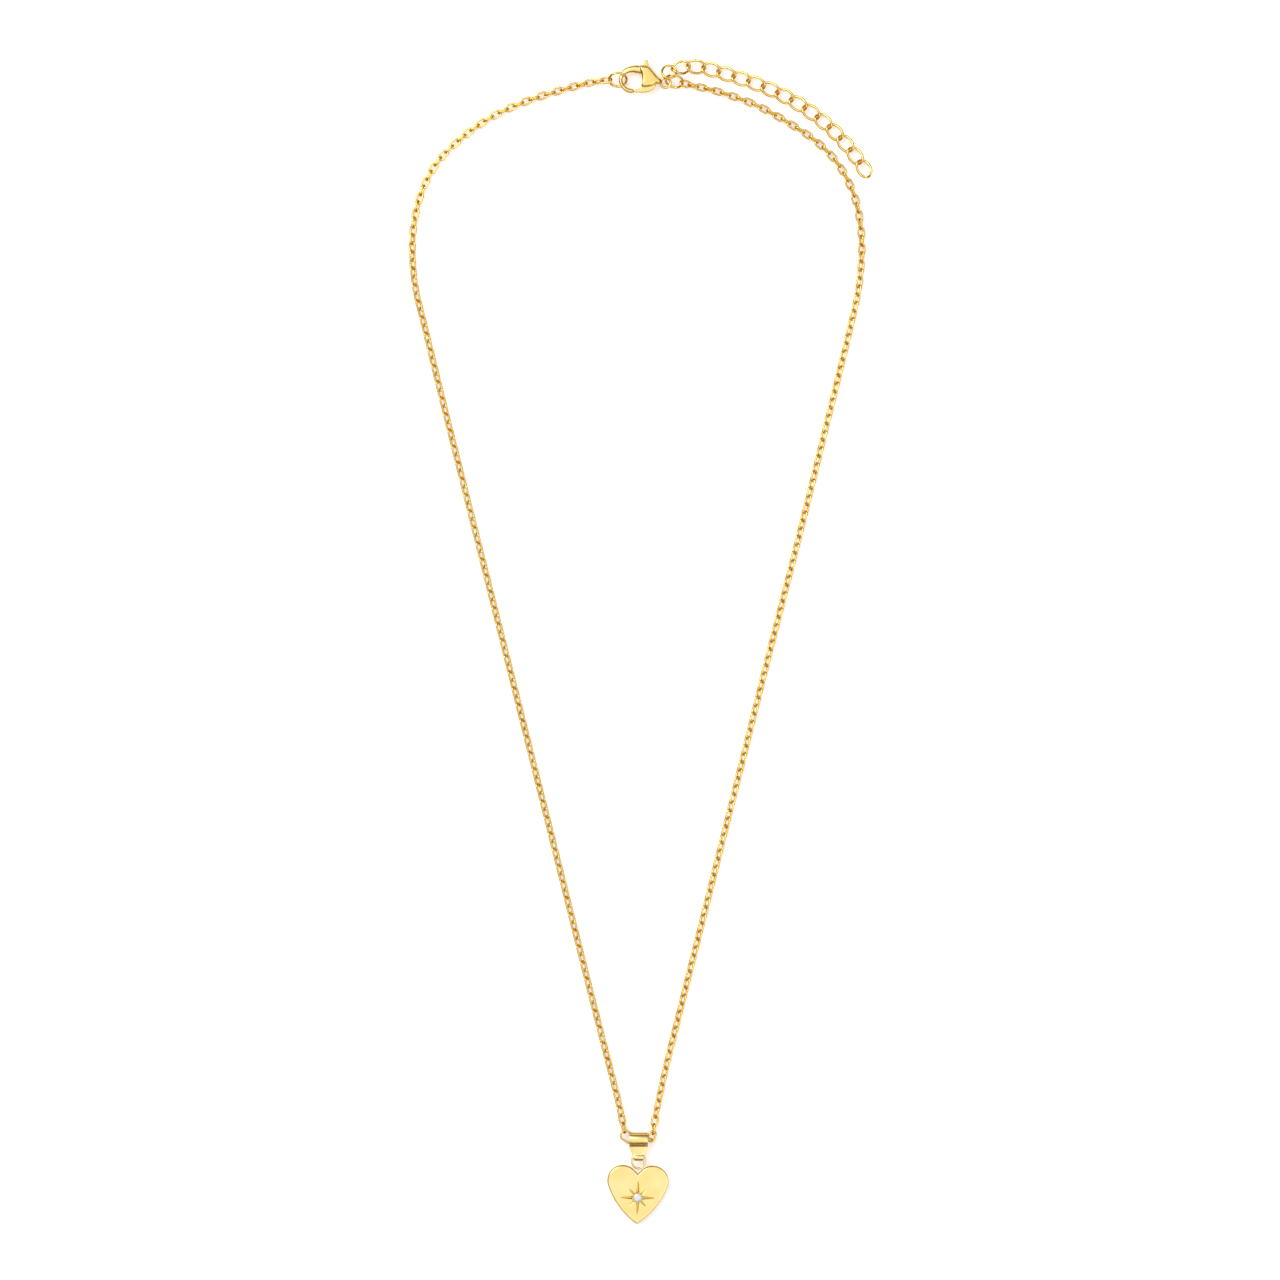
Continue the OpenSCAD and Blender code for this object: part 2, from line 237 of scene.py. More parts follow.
def sky():
    """White overhead and darker towards the horizon, so that the wires keep dark flanks."""
    world = bpy.data.worlds.new("studio")
    scene.world = world
    world.use_nodes = True
    tree = world.node_tree
    up = add(tree, "ShaderNodeTexCoord").outputs["Generated"]
    height = add(tree, "ShaderNodeSeparateXYZ", Vector=up).outputs["Z"]
    colour = ramp(tree, height, [(0.0, (0.1, 0.07, 0.04)), (0.5, (0.12, 0.09, 0.06)), (0.82, (1, 1, 1))])
    tree.links.new(colour, tree.nodes["Background"].inputs["Color"])
    tree.nodes["Background"].inputs["Strength"].default_value = 1.0


make_floor()
softbox("key", (-0.55, 0.5, 0.8), 0.7, 5.5)
softbox("fill", (0.65, -0.4, 0.7), 0.9, 2)
sky()


# ---------------------------------------------------------------- mesh helpers (millimetres in, metres out)
def unit(v):
    v = np.asarray(v, float)
    return v / np.linalg.norm(v, axis=-1, keepdims=True)


def piece(name, points, faces, material, node):
    """A new mesh that stands for one CAD node and rides on its body."""
    mesh = bpy.data.meshes.new(name)
    mesh.from_pydata((np.asarray(points) * MM).tolist(), [], [list(map(int, f)) for f in faces])
    mesh.validate()
    mesh.polygons.foreach_set("use_smooth", [True] * len(mesh.polygons))
    mesh.materials.append(material)
    obj = bpy.data.objects.new(name, mesh)
    scene.collection.objects.link(obj)
    settle(obj, node)
    return obj


def settle(obj, node):
    """Hides the CAD node an object stands for, and puts the object on that node's body."""
    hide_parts(node)
    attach(obj, body_of[node])


def curve_through(points, steps, closed=False):
    """Catmull-Rom curve through rows of numbers, steps to each gap."""
    p = np.asarray(points, float)
    n = len(p)
    out = []
    for i in range(n if closed else n - 1):
        if closed:
            a, b, c, d = (p[(i + k) % n] for k in (-1, 0, 1, 2))
        else:
            a, b, c, d = p[max(i - 1, 0)], p[i], p[i + 1], p[min(i + 2, n - 1)]
        for k in range(steps):
            u = k / steps
            out.append(0.5 * (2 * b + (c - a) * u + (2 * a - 5 * b + 4 * c - d) * u ** 2
                              + (3 * b - a - 3 * c + d) * u ** 3))
    if not closed:
        out.append(p[-1])
    return np.array(out)


def swept(path, normal, section, closed=True):
    """Sweeps a section, given as (across, along the normal) per path point, and returns points and faces."""
    path = np.asarray(path, float)
    count = len(path)
    if closed:
        ahead = unit(np.roll(path, -1, 0) - np.roll(path, 1, 0))
    else:
        ahead = unit(np.gradient(path, axis=0))
    across = unit(np.cross(np.broadcast_to(normal, path.shape), ahead))
    up = np.cross(ahead, across)
    section = np.broadcast_to(section, (count, *np.shape(section)[-2:]))
    points = path[:, None] + across[:, None] * section[..., :1] + up[:, None] * section[..., 1:]
    sides = section.shape[1]
    faces = []
    for i in range(count if closed else count - 1):
        a, b = i * sides, (i + 1) % count * sides
        faces += [(a + j, b + j, b + (j + 1) % sides, a + (j + 1) % sides) for j in range(sides)]
    if not closed:
        faces.append(list(range(sides)))
        faces.append(list(range(count * sides - 1, (count - 1) * sides - 1, -1)))
    return points.reshape(-1, 3), faces


def ellipse(half_wide, half_thick, sides=14):
    a = 2 * np.pi * np.arange(sides) / sides
    wide = np.atleast_1d(half_wide)[:, None] * np.cos(a)
    thick = np.atleast_1d(half_thick)[:, None] * np.sin(a)
    return np.stack([wide, np.broadcast_to(thick, wide.shape)], -1)


def joined(parts):
    """Several (points, faces) as one."""
    points, faces, start = [], [], 0
    for part_points, part_faces in parts:
        points.append(part_points)
        faces += [[i + start for i in face] for face in part_faces]
        start += len(part_points)
    return np.concatenate(points), faces


def loose_solids(node):
    """The vertices of each separate solid of a CAD node, in mm."""
    mesh = nodes[node].data
    place = np.empty(len(mesh.vertices) * 3)
    mesh.vertices.foreach_get("co", place)
    place = place.reshape(-1, 3) / MM
    spots, which = np.unique(np.round(place, 4), axis=0, return_inverse=True)
    which = which.ravel()
    edges = np.empty(len(mesh.edges) * 2, int)
    mesh.edges.foreach_get("vertices", edges)
    edges = which[edges].reshape(-1, 2)
    # Each spot takes the lowest number among its neighbours until nothing changes
    group = np.arange(len(spots))
    while True:
        low = np.minimum(group[edges[:, 0]], group[edges[:, 1]])
        new = group.copy()
        np.minimum.at(new, edges[:, 0], low)
        np.minimum.at(new, edges[:, 1], low)
        new = new[new]
        if np.array_equal(new, group):
            break
        group = new
    return [spots[group == g] for g in np.unique(group)]


def place_of(points):
    """(middle, long axis, short axis, normal, size along each) of a flat oval or ring."""
    middle = points.mean(0)
    _, axes = np.linalg.eigh(np.cov((points - middle).T))
    axes = axes.T[::-1]
    if axes[2][2] < 0:
        axes[2] = -axes[2]
    if axes[0][0] < 0:
        axes[0] = -axes[0]
    axes[1] = np.cross(axes[2], axes[0])
    local = (points - middle) @ axes.T
    middle = middle + (local.max(0) + local.min(0)) / 2 @ axes
    return middle, axes, local.max(0) - local.min(0)


# ---------------------------------------------------------------- cable chain
CHAIN_WIRE = 0.4
BUTT_SEAM_DEPTH = 0.1
BUTT_SEAM_WIDTH = 0.05


def seam_dip(distance):
    """Factor on a wire's radius near its butt joint."""
    return 1 - BUTT_SEAM_DEPTH * np.exp(-(distance / BUTT_SEAM_WIDTH) ** 2)


def oval_path(length, width, wire):
    """Middle line of a flat oval link, with close points at the butt joint in one side."""
    bend = (width - wire) / 2
    side = (length - width) / 2
    a = np.linspace(-np.pi / 2, np.pi / 2, 13)
    right = np.stack([side + bend * np.cos(a), bend * np.sin(a)], 1)
    left = -right
    seam = np.array([[x, bend] for x in (0.12, 0.05, 0, -0.05, -0.12)])
    plain = np.array([[-0.12, -bend], [0.12, -bend]])
    flat = np.concatenate([right, seam, left, plain])
    near = np.where(flat[:, 1] > bend - 1e-6, flat[:, 0], 9)
    return np.column_stack([flat, np.zeros(len(flat))]), seam_dip(near)


def chain_links(node):
    parts = []
    for solid in loose_solids(node):
        middle, axes, size = place_of(solid)
        path, dip = oval_path(size[0], size[1], CHAIN_WIRE)
        radius = CHAIN_WIRE / 2 * dip
        parts.append(swept(middle + path @ axes, axes[2], ellipse(radius, radius, 12)))
    points, faces = joined(parts)
    piece(f"links_{node}", points, faces, CHAIN_GOLD, node)


for name in sorted(nodes):
    if name.startswith("chain_"):
        chain_links(name)


# ---------------------------------------------------------------- extension chain of curb links
EXTENSION_WIRE = 0.48
CURB_WIDTH = 3.04
CURB_TILT = 28
FIRST_LINK_TILT = 65


def curb_link(node, first):
    """A link twisted so that its two ends tilt opposite ways, which lets the chain lie flat."""
    middle, axes, size = place_of(loose_solids(node)[0])
    long_axis = axes[0]
    level = unit(np.cross([0, 0, 1], long_axis))
    up = np.cross(long_axis, level)
    t = np.linspace(0, 2 * np.pi, 72, endpoint=False)
    right, left = math.radians(CURB_TILT), math.radians(-FIRST_LINK_TILT if first else -CURB_TILT)
    twist = (right + left) / 2 + (right - left) / 2 * np.cos(t)
    half_long = (size[0] - EXTENSION_WIRE) / 2
    half_wide = (CURB_WIDTH - EXTENSION_WIRE) / 2
    bulge = np.sign(np.cos(t)) * np.abs(np.cos(t)) ** 0.94 * half_long
    flank = half_wide * np.sign(np.sin(t)) * np.abs(np.sin(t)) ** 0.94
    path = (middle + bulge[:, None] * long_axis + (flank * np.cos(twist))[:, None] * level
            + (flank * np.sin(twist))[:, None] * up)
    normal = -np.sin(twist)[:, None] * level + np.cos(twist)[:, None] * up
    radius = EXTENSION_WIRE / 2 * seam_dip((t - np.pi / 2) * half_long)
    points, faces = swept(path, normal, ellipse(radius, radius, 16))
    piece(f"curb_{node}", points, faces, EXTENSION_GOLD, node)


for name in sorted(nodes):
    if name.startswith("extension_link_"):
        curb_link(name, name.endswith("_01"))


# ---------------------------------------------------------------- jump rings
RING_WIRE = 0.45


def jump_ring(node, seam_angle):
    """A round wire ring with the thin line where it was closed."""
    middle, axes, size = place_of(loose_solids(node)[0])
    radius = (size[0] + size[1]) / 4 - RING_WIRE / 2
    fine = np.radians(np.array([-4, -2.5, -1.6, -0.8, 0, 0.8, 1.6, 2.5, 4]))
    a = np.concatenate([fine, np.linspace(math.radians(7), math.radians(353), 88)])
    across = np.cos(a + seam_angle)[:, None] * axes[0] + np.sin(a + seam_angle)[:, None] * axes[1]
    path = middle + radius * across
    away = np.where(a > np.pi, a - 2 * np.pi, a) * radius
    wire = RING_WIRE / 2 * seam_dip(away)
    points, faces = swept(path, axes[2], ellipse(wire, wire, 20))
    piece(f"round_{node}", points, faces, RING_GOLD, node)


jump_ring("end_ring", math.radians(120))
jump_ring("clasp_ring", math.radians(250))
jump_ring("extension_ring", math.radians(110))


# ---------------------------------------------------------------- lobster clasp
PIN = np.array(joints["clasp_lever_pull"]["pos_m"]) / MM
CAST_VOXEL = 0.05
CAST_SMOOTHING = 12
LEVER_VOXEL = 0.045
LEVER_RIM = 0.16
HOOK_HALF_T = 0.56
BODY_HALF_T = 1.08
SLOT_HALF = 0.55
# Corners (x, y) of the room the lever needs inside the body, and below it towards the gate
SLOT_BLOCKS = [((-1.62, -3), (1.06, 3)), ((-3, -3), (-1, -0.4))]
# Rows of (x, y, half the width) from inside the body round to the hook's tip, about the lever's pin
HOOK_ARM = [(-1.3, 1.05, 0.7), (-2.8, 1.36, 0.78), (-3.7, 1.38, 0.68), (-4.83, 1.07, 0.58),
            (-5.62, 0.44, 0.47), (-6.04, -0.5, 0.38), (-6.03, -1.2, 0.36), (-5.66, -2.05, 0.37),
            (-4.98, -2.68, 0.42), (-4.3, -2.95, 0.46), (-3.8, -2.97, 0.42), (-3.56, -2.95, 0.34),
            (-3.46, -2.94, 0.22)]
BODY_EDGE = [(-2.3, 2.0), (-1.7, 2.14), (-0.56, 1.98), (0.06, 1.44), (0.84, 0.52), (1.36, -0.18),
             (1.9, -0.7), (2.05, -1.2), (1.9, -1.5), (1.5, -1.5), (0.92, -1.72), (0.22, -2.1),
             (-0.5, -2.24), (-1.2, -2.34), (-1.85, -2.26), (-1.98, -1.85), (-1.78, -1.3),
             (-1.74, -0.85), (-1.78, -0.3), (-1.86, 0.4), (-2.1, 1.2)]
BODY_MIDDLE = np.array([-0.9, -0.1])
TAIL_LOOP = (2.9, -1.35)
TAIL_R = 1.0
TAIL_WIRE = 0.5


def hook_arm():
    rows = curve_through(HOOK_ARM, 8)
    path = np.column_stack([rows[:, :2], np.zeros(len(rows))])
    thick = HOOK_HALF_T * np.clip(rows[:, 2] / 0.4, 0.5, 1)
    return swept(path, (0, 0, 1), ellipse(rows[:, 2], thick, 24), closed=False)


def crowned(edge, middle, half_t, rings, power):
    """A closed form over an outline, rounded off to its edge, and boxier at a higher power."""
    edge = curve_through(edge, 6, closed=True)
    count = len(edge)
    levels = [(math.sin(a), math.cos(a)) for a in np.linspace(-math.pi / 2, math.pi / 2, 2 * rings + 1)[1:-1]]
    rows = []
    for rise, reach in levels:
        scale = reach ** (2 / power)
        height = half_t * math.copysign(abs(rise) ** (2 / 3), rise)
        flat = middle + (edge - middle) * scale
        rows.append(np.column_stack([flat, np.full(count, height)]))
    points = np.concatenate(rows + [[[*middle, -half_t], [*middle, half_t]]])
    faces = []
    for r in range(len(rows) - 1):
        for j in range(count):
            k = (j + 1) % count
            faces.append((r * count + j, r * count + k, (r + 1) * count + k, (r + 1) * count + j))
    bottom, top = len(rows) * count, len(rows) * count + 1
    last = (len(rows) - 1) * count
    faces += [(bottom, (j + 1) % count, j) for j in range(count)]
    faces += [(top, last + j, last + (j + 1) % count) for j in range(count)]
    return points, faces


def ring_about(centre, radius, wire, sides=20):
    a = np.linspace(0, 2 * np.pi, 64, endpoint=False)
    path = np.column_stack([centre[0] + radius * np.cos(a), centre[1] + radius * np.sin(a), 0 * a])
    return swept(path, (0, 0, 1), ellipse(wire / 2, wire / 2, sides))


def block(low, high):
    """A box as (points, faces)."""
    (x0, y0, z0), (x1, y1, z1) = low, high
    points = [(x, y, z) for x in (x0, x1) for y in (y0, y1) for z in (z0, z1)]
    faces = [(0, 1, 3, 2), (4, 6, 7, 5), (0, 4, 5, 1), (2, 3, 7, 6), (0, 2, 6, 4), (1, 5, 7, 3)]
    return np.array(points), faces


def loose_object(name, points, faces, origin):
    mesh = bpy.data.meshes.new(name)
    mesh.from_pydata(((np.asarray(points) + origin) * MM).tolist(), [], [list(map(int, f)) for f in faces])
    form = bmesh.new()
    form.from_mesh(mesh)
    bmesh.ops.recalc_face_normals(form, faces=form.faces)
    form.to_mesh(mesh)
    form.free()
    obj = bpy.data.objects.new(name, mesh)
    scene.collection.objects.link(obj)
    return obj


def apply_all(obj):
    """Replaces an object's mesh by what its modifiers make of it."""
    graph = bpy.context.evaluated_depsgraph_get()
    made = bpy.data.meshes.new_from_object(obj.evaluated_get(graph))
    obj.modifiers.clear()
    obj.data = made


def remeshed(obj, voxel, smooth_steps):
    """One continuous skin over joined forms, with the corners between them softened as in a casting."""
    skin = obj.modifiers.new("skin", "REMESH")
    skin.mode = "VOXEL"
    skin.voxel_size = voxel * MM
    soft = obj.modifiers.new("soft", "SMOOTH")
    soft.factor = 0.5
    soft.iterations = smooth_steps
    apply_all(obj)


def carve(obj, cutter):
    cut = obj.modifiers.new("cut", "BOOLEAN")
    cut.operation = "DIFFERENCE"
    cut.object = cutter
    cut.solver = "EXACT"
    apply_all(obj)
    bpy.data.objects.remove(cutter)


def finish_mesh(obj, material):
    obj.data.materials.clear()
    obj.data.materials.append(material)
    obj.data.polygons.foreach_set("use_smooth", [True] * len(obj.data.polygons))


def clasp_body():
    neck = swept([(1.2, -0.9, 0), (1.75, -1.15, 0), (2.15, -1.3, 0)], (0, 0, 1),
                 ellipse(np.array([0.6, 0.5, 0.36]), np.array([0.8, 0.55, 0.3]), 20), closed=False)
    points, faces = joined([hook_arm(), crowned(BODY_EDGE, BODY_MIDDLE, BODY_HALF_T, 14, 5.0), neck,
                            ring_about(TAIL_LOOP, TAIL_R, TAIL_WIRE)])
    obj = loose_object("cast_clasp_body", points, faces, PIN)
    remeshed(obj, CAST_VOXEL, CAST_SMOOTHING)
    for low, high in SLOT_BLOCKS:
        slot = block((*low, -SLOT_HALF), (*high, SLOT_HALF))
        carve(obj, loose_object("slot", *slot, PIN))
    remeshed(obj, CAST_VOXEL, 2)
    finish_mesh(obj, CLASP_GOLD)
    settle(obj, "clasp_body")


LEVER_HALF_T = 0.46
LEVER_EDGE = [(-1.48, 2.9), (-1.34, 3.18), (-1.04, 3.28), (-0.76, 3.18), (-0.62, 2.9), (-0.52, 2.2),
              (-0.48, 1.3), (0.4, 0.75), (0.72, 0.1), (0.68, -0.8), (0.98, -1.5), (0.72, -2.3),
              (0.1, -2.85), (-0.9, -3.2), (-2.2, -3.3), (-3.2, -3.22), (-3.48, -3.0), (-3.3, -2.78),
              (-2.7, -2.6), (-2.05, -2.25), (-1.5, -1.35), (-1.3, -0.5), (-1.3, 0.6), (-1.5, 1.5),
              (-1.54, 2.3)]


def rounded_plate(edge, half_t, radius, segments=4):
    """A plate cut to an outline, with its two rims rounded over."""
    edge = curve_through(edge, 4, closed=True)
    form = bmesh.new()
    low = [form.verts.new((x, y, -half_t)) for x, y in edge]
    high = [form.verts.new((x, y, half_t)) for x, y in edge]
    form.faces.new(high)
    form.faces.new(low[::-1])
    count = len(edge)
    for j in range(count):
        k = (j + 1) % count
        form.faces.new((low[j], low[k], high[k], high[j]))
    bmesh.ops.recalc_face_normals(form, faces=form.faces)
    rims = [e for e in form.edges if abs(e.verts[0].co.z - e.verts[1].co.z) < 1e-6]
    bmesh.ops.bevel(form, geom=rims, offset=radius, segments=segments, profile=0.5, affect="EDGES")
    bmesh.ops.triangulate(form, faces=[f for f in form.faces if len(f.verts) > 4])
    form.verts.ensure_lookup_table()
    points = np.array([v.co[:] for v in form.verts])
    faces = [[v.index for v in f.verts] for f in form.faces]
    form.free()
    return points, faces


def clasp_lever():
    points, faces = rounded_plate(LEVER_EDGE, LEVER_HALF_T, LEVER_RIM)
    obj = loose_object("lever_clasp", points, faces, PIN)
    remeshed(obj, LEVER_VOXEL, 3)
    finish_mesh(obj, CLASP_GOLD)
    settle(obj, "clasp_lever")


clasp_body()
clasp_lever()


# ---------------------------------------------------------------- bail
ROLL = np.array(joints["bail_swing"]["pos_m"]) / MM
FOOT = np.array(joints["heart_swing"]["pos_m"]) / MM
BAIL_HALF_W = 1.85
BAIL_FOOT_HALF_W = 0.84
STRIP_T = 0.36
STRIP_CORNER = 0.08
ROLL_R = 1.17
FOOT_R = 0.48
LAYER = 0.23


def bail():
    """A strip folded round the chain and round the pendant's ring, and pinched between them."""
    reach = math.hypot(FOOT[1] - ROLL[1], FOOT[2] - ROLL[2])
    roll = [(ROLL_R * math.cos(a), ROLL_R * math.sin(a)) for a in np.radians(np.arange(30, 331, 12))]
    around = np.radians(np.arange(-140, 141, 20))
    foot = [(reach + FOOT_R * math.cos(a), FOOT_R * math.sin(a)) for a in around]
    down = [(1.28, -0.32), (1.6, -LAYER), (2.3, -LAYER), (reach - 0.62, -LAYER)]
    back = [(x, -y) for x, y in down[::-1]]
    flat = curve_through(roll + down + foot + back, 4, closed=True)
    ahead = np.array([0, FOOT[1] - ROLL[1], FOOT[2] - ROLL[2]]) / reach
    lift = np.cross(ahead, [1, 0, 0])
    if lift[2] < 0:
        lift = -lift
    fraction = np.clip((flat[:, 0] - 1.45) / (reach + FOOT_R - 1.45), 0, 1)
    half = BAIL_HALF_W + (BAIL_FOOT_HALF_W - BAIL_HALF_W) * fraction
    shift = (FOOT[0] - ROLL[0]) * fraction
    path = ROLL + flat[:, :1] * ahead + flat[:, 1:] * lift + np.outer(shift, [1, 0, 0])
    corner = STRIP_CORNER
    turn = np.radians([[0, 30, 60, 90], [90, 120, 150, 180], [180, 210, 240, 270], [270, 300, 330, 360]])
    rim = []
    for quarter, (sx, sy) in zip(turn, [(1, 1), (-1, 1), (-1, -1), (1, -1)]):
        rim += [(sx, corner * (math.cos(a) - sx), sy * (STRIP_T / 2 - corner) + corner * math.sin(a))
                for a in quarter]
    section = np.array([[(sx * w + dx, z) for sx, dx, z in rim] for w in half])
    flow = unit(np.roll(path, -1, 0) - np.roll(path, 1, 0))
    out = unit(np.cross(flow, [1, 0, 0]))
    points = path[:, None] + section[..., :1] * np.array([1, 0, 0]) + section[..., 1:] * out[:, None]
    count, sides = section.shape[:2]
    faces = []
    for i in range(count):
        a, b = i * sides, (i + 1) % count * sides
        faces += [(a + j, b + j, b + (j + 1) % sides, a + (j + 1) % sides) for j in range(sides)]
    obj = piece("folded_bail", points.reshape(-1, 3), faces, BAIL_GOLD, "bail")
    obj.data.set_sharp_from_angle(angle=math.radians(40))


bail()


# ---------------------------------------------------------------- pendant
PENDANT_TILT = np.radians([3.5, 3, -1.5])
STONE_BELOW_RING = 8.03
HEART_HALF_T = 0.55
LOBE = np.array([3.0, 3.3])
LOBE_R = 3.1
FLANK_R = 15.5
FLANK_FROM = math.radians(-20)
LONG_RAY = 3.4
SHORT_RAY = 2.4
STONE_R = 0.875
SEAT_DEPTH = 0.75
RIM_ROUND = 0.3
UNDER_ROUND = 0.16


def turned(angles):
    """Rotation about X, then Y, then Z."""
    (cx, cy, cz), (sx, sy, sz) = np.cos(angles), np.sin(angles)
    about_x = np.array([[1, 0, 0], [0, cx, -sx], [0, sx, cx]])
    about_y = np.array([[cy, 0, sy], [0, 1, 0], [-sy, 0, cy]])
    about_z = np.array([[cz, -sz, 0], [sz, cz, 0], [0, 0, 1]])
    return about_z @ about_y @ about_x


PENDANT_AXES = turned(PENDANT_TILT)


def on_pendant(points, below=0.0):
    """From the pendant's own place, with its origin that far below the ring's top bar."""
    return FOOT + (np.asarray(points) - [0, below, 0]) @ PENDANT_AXES.T


def heart_ring():
    """D-shaped ring: straight top bar, tight corners, short legs and a round bottom."""
    r, corner, leg, wire = 1.22, 0.24, 0.75, 0.4
    a = np.linspace(0, np.pi / 2, 9)
    right = np.column_stack([r - corner + corner * np.sin(a), -corner + corner * np.cos(a)])
    b = np.linspace(0, np.pi, 33)
    bottom = np.column_stack([r * np.cos(b), -corner - leg - r * np.sin(b)])
    left = right[::-1] * [-1, 1]
    bar = np.array([[-0.35, 0], [0, 0], [0.35, 0]])
    flat = np.concatenate([right, bottom, left, bar])
    path = on_pendant(np.column_stack([flat, np.zeros(len(flat))]))
    points, faces = swept(path, PENDANT_AXES[:, 2], ellipse(wire / 2, wire / 2, 18))
    piece("wire_heart_ring", points, faces, PENDANT_GOLD, "heart_ring")


def heart_edge():
    """The heart's outline about its stone, anticlockwise from the right of the cleft."""
    a = np.linspace(math.radians(135), FLANK_FROM, 160)
    lobe = LOBE + LOBE_R * np.column_stack([np.cos(a), np.sin(a)])
    centre = LOBE + (LOBE_R - FLANK_R) * np.array([math.cos(FLANK_FROM), math.sin(FLANK_FROM)])
    last = -math.acos(-centre[0] / FLANK_R)
    b = np.linspace(FLANK_FROM, last, 160)[1:]
    flank = centre + FLANK_R * np.column_stack([np.cos(b), np.sin(b)])
    half = np.concatenate([[[0, LOBE[1] + math.sqrt(2) * LOBE_R - LOBE[0]]], lobe, flank])
    return np.concatenate([half, half[-2:0:-1] * [-1, 1]])


def distance_to(edge, points):
    """Distance from each point to a closed outline."""
    a, b = edge, np.roll(edge, -1, 0)
    step = b - a
    best = np.full(len(points), 1e9)
    for start, run in zip(a, step):
        u = np.clip(((points - start) @ run) / max(run @ run, 1e-12), 0, 1)
        best = np.minimum(best, np.linalg.norm(points - start - u[:, None] * run, axis=1))
    return best


def groove_depth(x, y):
    """Depth of the engraved star: V-cut rays that narrow and run out to a rounded tip."""
    depth = np.zeros_like(x)
    for i in range(8):
        a = math.radians(45 * i)
        along = x * math.cos(a) + y * math.sin(a)
        off = np.abs(-x * math.sin(a) + y * math.cos(a))
        tip = LONG_RAY if i % 2 == 0 else SHORT_RAY
        u = np.clip((along - 0.9) / (tip - 0.9), 0, 1)
        root = 0.27 if i % 2 == 0 else 0.16
        half = root * (1 - u) + 0.1 * np.sqrt(np.clip(1 - u ** 8, 0, 1))
        cut = np.where((along > 0.3) & (along < tip), np.clip(1 - off / np.maximum(half, 1e-3), 0, 1), 0)
        depth = np.maximum(depth, cut * half * 0.85)
    return depth


def heart_plate():
    """Rings of points from the seat to the outline, down round the rim and back to the middle underneath."""
    edge = heart_edge()
    turns = 720  # columns round the stone
    angle = 2 * np.pi * np.arange(turns) / turns
    ray = np.column_stack([np.cos(angle), np.sin(angle)])
    a, b = edge, np.roll(edge, -1, 0)
    limit = np.full(turns, 1e9)
    for start, run in zip(a, b - a):
        cross = ray[:, 0] * run[1] - ray[:, 1] * run[0]
        cross = np.where(np.abs(cross) < 1e-12, 1e-12, cross)
        out = (start[0] * run[1] - start[1] * run[0]) / cross
        u = (start[0] * ray[:, 1] - start[1] * ray[:, 0]) / cross
        good = (out > 0) & (u >= -1e-9) & (u <= 1 + 1e-9)
        limit = np.where(good, np.minimum(limit, out), limit)
    seat = STONE_R + 0.02
    inner = seat + 0.2
    close = np.array([0.1, 0.075, 0.055, 0.038, 0.024, 0.013, 0.006, 0.002, 0])
    shares = np.concatenate([np.linspace(0, 0.86, 34) ** 0.92, 1 - close])
    rows = [np.column_stack([seat * ray, np.full(turns, HEART_HALF_T - SEAT_DEPTH)]),
            np.column_stack([seat * ray, np.full(turns, HEART_HALF_T + 0.02)]),
            np.column_stack([(seat + 0.05) * ray, np.full(turns, HEART_HALF_T + 0.07)]),
            np.column_stack([(seat + 0.14) * ray, np.full(turns, HEART_HALF_T + 0.07)]),
            np.column_stack([(inner - 0.01) * ray, np.full(turns, HEART_HALF_T)])]
    for share in shares:
        flat = ray * (inner + (limit - inner) * share)[:, None]
        d = np.minimum(distance_to(edge, flat), RIM_ROUND)
        fall = RIM_ROUND - np.sqrt(np.maximum(RIM_ROUND ** 2 - (RIM_ROUND - d) ** 2, 0))
        rows.append(np.column_stack([flat, HEART_HALF_T - fall - groove_depth(flat[:, 0], flat[:, 1])]))
    for share in (1.0, 0.994, 0.985, 0.97, 0.93, 0.5):
        flat = ray * (inner + (limit - inner) * share)[:, None]
        d = np.minimum(distance_to(edge, flat), UNDER_ROUND)
        rise = UNDER_ROUND - np.sqrt(np.maximum(UNDER_ROUND ** 2 - (UNDER_ROUND - d) ** 2, 0))
        rows.append(np.column_stack([flat, -HEART_HALF_T + rise]))
    points = np.concatenate(rows + [[[0, 0, -HEART_HALF_T], [0, 0, HEART_HALF_T - SEAT_DEPTH]]])
    faces = []
    for r in range(len(rows) - 1):
        for j in range(turns):
            k = (j + 1) % turns
            faces.append((r * turns + j, (r + 1) * turns + j, (r + 1) * turns + k, r * turns + k))
    last, below, seat_middle = (len(rows) - 1) * turns, len(rows) * turns, len(rows) * turns + 1
    faces += [(last + j, below, last + (j + 1) % turns) for j in range(turns)]
    faces += [(j, (j + 1) % turns, seat_middle) for j in range(turns)]
    obj = piece("engraved_heart", on_pendant(points, STONE_BELOW_RING), faces, PENDANT_GOLD, "heart_plate")
    obj.data.set_sharp_from_angle(angle=math.radians(38))


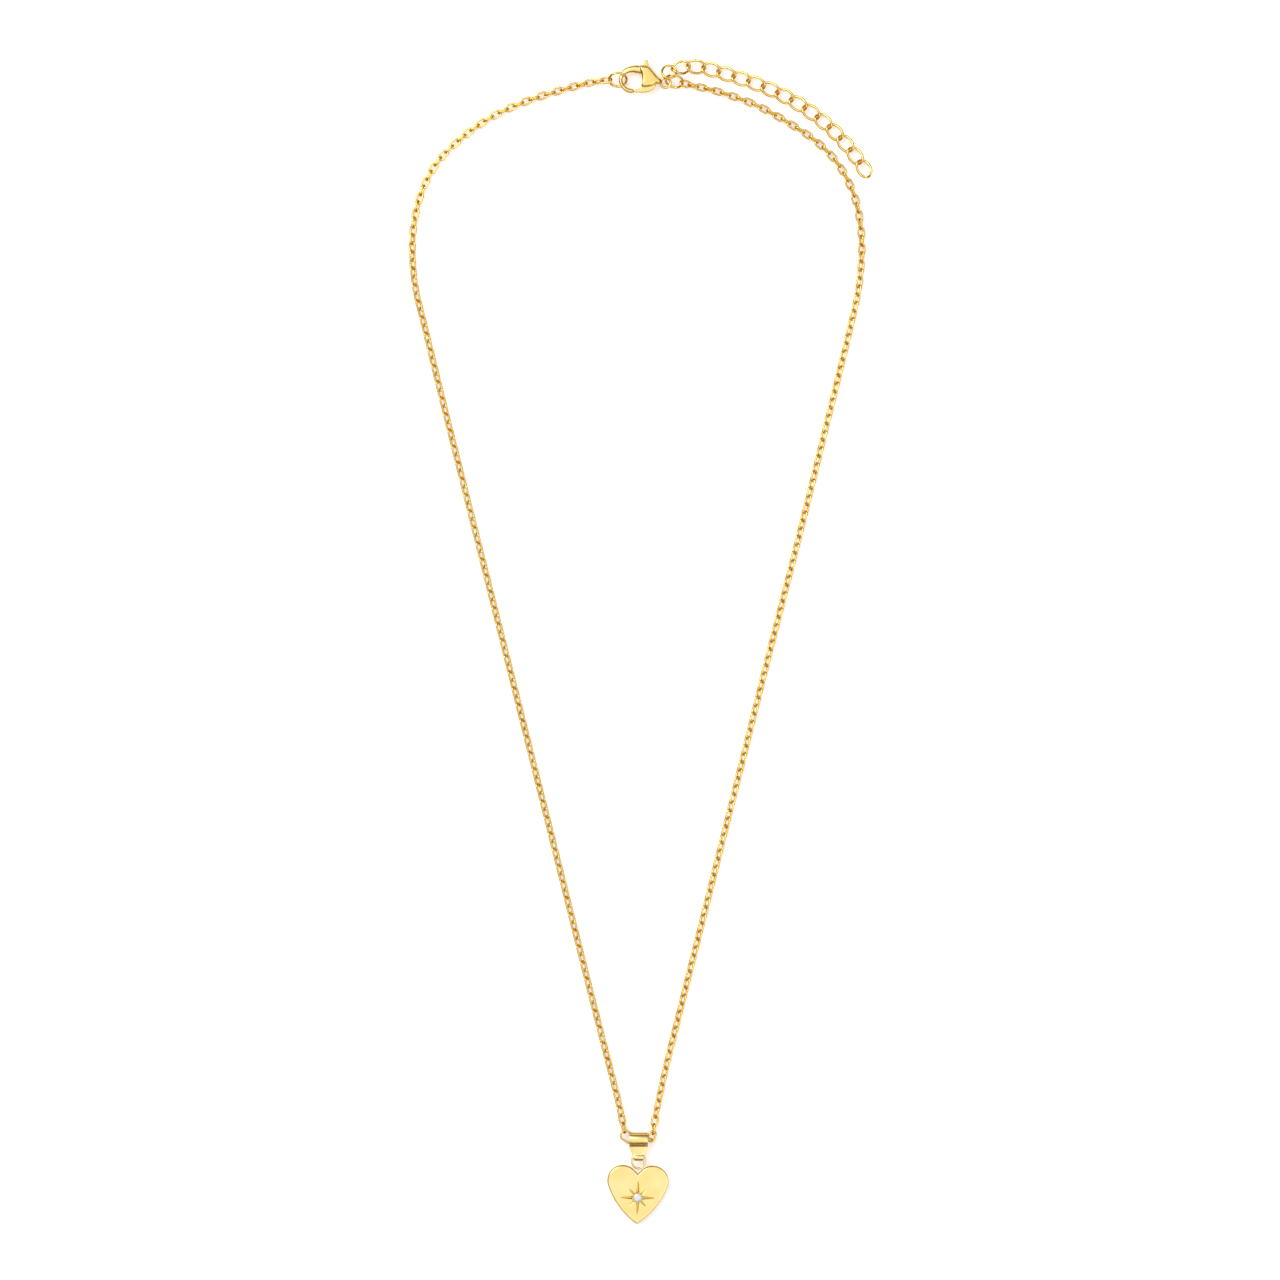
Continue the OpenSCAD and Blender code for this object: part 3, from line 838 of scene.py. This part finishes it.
def seat_beads():
    """Small raised grains round the seat that hold the stone."""
    parts = []
    count = 12
    for i in range(count):
        a = 2 * math.pi * (i + 0.5) / count
        centre = np.array([0.93 * math.cos(a), 0.93 * math.sin(a), HEART_HALF_T + 0.06])
        edge = [(0.1 * math.cos(t), 0.1 * math.sin(t)) for t in np.radians(np.arange(0, 360, 45))]
        points, faces = crowned(edge, np.zeros(2), 0.09, 3, 2.4)
        parts.append((points + centre, faces))
    points, faces = joined(parts)
    mesh = bpy.data.meshes.new("seat_beads")
    places = on_pendant(points, STONE_BELOW_RING) * MM
    mesh.from_pydata(places.tolist(), [], [list(map(int, f)) for f in faces])
    mesh.polygons.foreach_set("use_smooth", [True] * len(mesh.polygons))
    mesh.materials.append(PENDANT_GOLD)
    beads = bpy.data.objects.new("seat_beads", mesh)
    scene.collection.objects.link(beads)
    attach(beads, body_of["heart_plate"])


def stone():
    """Round brilliant: table, star, kite and girdle facets above, and a pavilion below."""
    r = STONE_R
    girdle_z = HEART_HALF_T - SEAT_DEPTH + 0.66
    table_z = girdle_z + 0.3

    def ring(count, radius, z, start=0.0):
        return [(radius * math.cos(2 * math.pi * (i + start) / count),
                 radius * math.sin(2 * math.pi * (i + start) / count), z) for i in range(count)]

    points = ring(8, 0.54 * r, table_z) + ring(8, 0.8 * r, girdle_z + 0.19, 0.5)
    points += ring(16, r, girdle_z + 0.05) + ring(16, r, girdle_z - 0.01)
    points += ring(8, 0.45 * r, girdle_z - 0.36, 0.5) + [(0, 0, girdle_z - 0.62)]
    faces = [tuple(range(8))]
    for i in range(8):
        n = (i + 1) % 8
        p = (i - 1) % 8
        faces.append((i, 8 + i, n))
        faces.append((i, 8 + p, 16 + 2 * i, 8 + i))
        faces.append((8 + i, 16 + 2 * i, 16 + 2 * i + 1))
        faces.append((8 + i, 16 + 2 * i + 1, 16 + (2 * i + 2) % 16))
        faces.append((48 + i, 32 + 2 * i, 32 + 2 * i + 1))
        faces.append((48 + i, 32 + 2 * i + 1, 32 + (2 * i + 2) % 16))
        faces.append((56, 48 + i, 32 + (2 * i + 2) % 16, 48 + n))
    for i in range(16):
        n = (i + 1) % 16
        faces.append((16 + i, 32 + i, 32 + n, 16 + n))
    obj = loose_object("cut_stone", on_pendant(points, STONE_BELOW_RING), faces, np.zeros(3))
    obj.data.materials.append(STONE)
    settle(obj, "stone")


heart_ring()
heart_plate()
seat_beads()
stone()


# ---------------------------------------------------------------- CAD nodes that stay
for node, material in (("clasp_pin", CLASP_GOLD), ("clasp_spring", STEEL)):
    nodes[node].data.materials.clear()
    nodes[node].data.materials.append(material)
